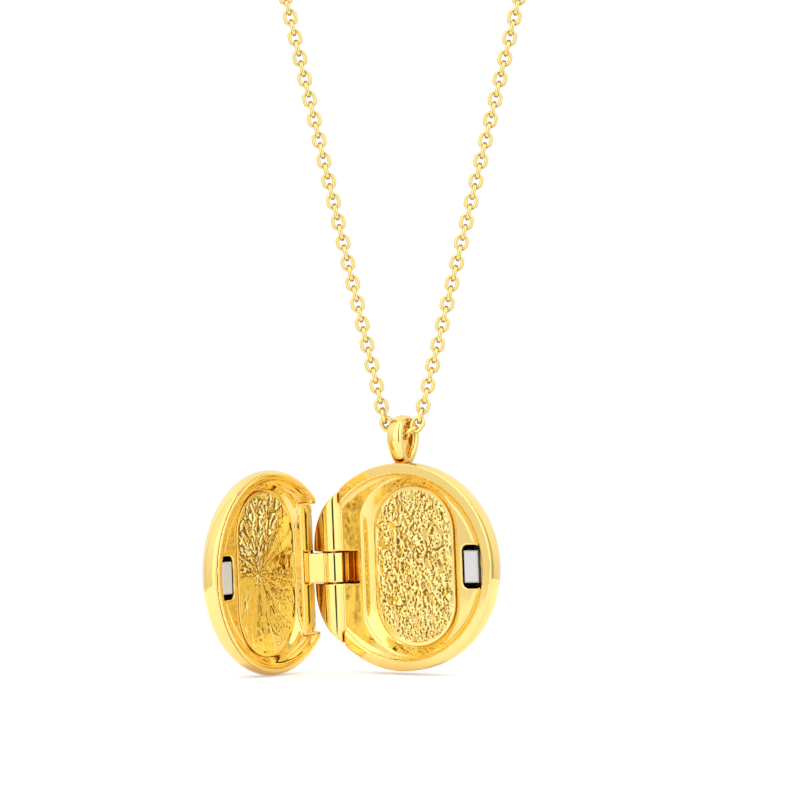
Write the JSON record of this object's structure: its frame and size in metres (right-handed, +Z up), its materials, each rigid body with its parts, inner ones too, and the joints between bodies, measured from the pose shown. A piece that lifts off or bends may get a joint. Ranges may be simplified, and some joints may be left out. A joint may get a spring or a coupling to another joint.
{
  "type": "pendant necklace",
  "caption": "Round hinged locket pendant with magnetic catch and textured recesses, shown open, hung by a bail on a closed cable chain with a trigger clasp.",
  "frame": {"origin": "middle of the bail's top, where the pendant hangs on the chain", "axes": "+Z up along the hanging chain, -Y towards the viewer facing the open locket, +X to the viewer's right; the chain loop lies in the plane Y = 0"},
  "size_m": [0.0692, 0.0167, 0.2019],
  "materials": {
    "gold": "polished yellow gold",
    "gold_foil": "crinkled bright gold",
    "chain_gold": "polished gold wire",
    "magnet": "nickel plated",
    "spring_steel": "bright"
  },
  "bodies": {
    "neck_chain": {"chain_neck_left": "chain_gold", "chain_neck_right": "chain_gold"},
    "upper_chain": {"chain_upper_left": "chain_gold", "chain_upper_right": "chain_gold"},
    "middle_chain": {"chain_middle_left": "chain_gold", "chain_middle_right": "chain_gold"},
    "lower_chain": {"chain_lower_left": "chain_gold", "chain_lower_right": "chain_gold"},
    "bend_chain": {"chain_bend": "chain_gold"},
    "locket_back": {"back_shell": "gold", "back_tray": "gold", "back_inlay": "gold_foil", "back_magnet": "magnet", "hinge_pin": "gold", "bail": "gold"},
    "locket_lid": {"lid_shell": "gold", "lid_tray": "gold", "lid_inlay": "gold_foil", "lid_magnet": "magnet"},
    "clasp": {"clasp_ring": "chain_gold", "clasp_body": "gold", "clasp_pin": "gold", "clasp_spring": "spring_steel"},
    "clasp_trigger": {"clasp_lever": "gold"},
    "clasp_end": {"end_ring": "chain_gold"}
  },
  "joints": [
    {"name": "upper_chain_sway", "type": "hinge", "parent": "neck_chain", "child": "upper_chain", "pos_m": [0, 0, 0.09347], "axis": [1, 0, 0], "range_deg": [-20, 20]},
    {"name": "middle_chain_sway", "type": "hinge", "parent": "upper_chain", "child": "middle_chain", "pos_m": [0, 0, 0.05888], "axis": [1, 0, 0], "range_deg": [-20, 20]},
    {"name": "lower_chain_sway", "type": "hinge", "parent": "middle_chain", "child": "lower_chain", "pos_m": [0, 0, 0.02632], "axis": [1, 0, 0], "range_deg": [-20, 20]},
    {"name": "bend_sway", "type": "hinge", "parent": "lower_chain", "child": "bend_chain", "pos_m": [0, 0, 0.00088], "axis": [1, 0, 0], "range_deg": [-15, 15]},
    {"name": "bail_swing", "type": "hinge", "parent": "bend_chain", "child": "locket_back", "pos_m": [0, 0, -0.0005], "axis": [0.8654, -0.5, 0.0332], "range_deg": [-25, 25]},
    {"name": "lid_hinge", "type": "hinge", "parent": "locket_back", "child": "locket_lid", "pos_m": [-0.00682, 0.0038, -0.01487], "axis": [0.0384, 0, -0.9993], "range_deg": [-94.5, 14]},
    {"name": "clasp_swing", "type": "hinge", "parent": "neck_chain", "child": "clasp", "pos_m": [-0.00565, 0, 0.17433], "axis": [0, 1, 0], "range_deg": [-5, 5]},
    {"name": "clasp_trigger_pivot", "type": "hinge", "parent": "clasp", "child": "clasp_trigger", "pos_m": [-0.00119, 0, 0.17318], "axis": [0, -1, 0], "range_deg": [0, 18]},
    {"name": "end_ring_swing", "type": "hinge", "parent": "neck_chain", "child": "clasp_end", "pos_m": [0.00565, 0, 0.17433], "axis": [0, -1, 0], "range_deg": [-8, 8]}
  ]
}
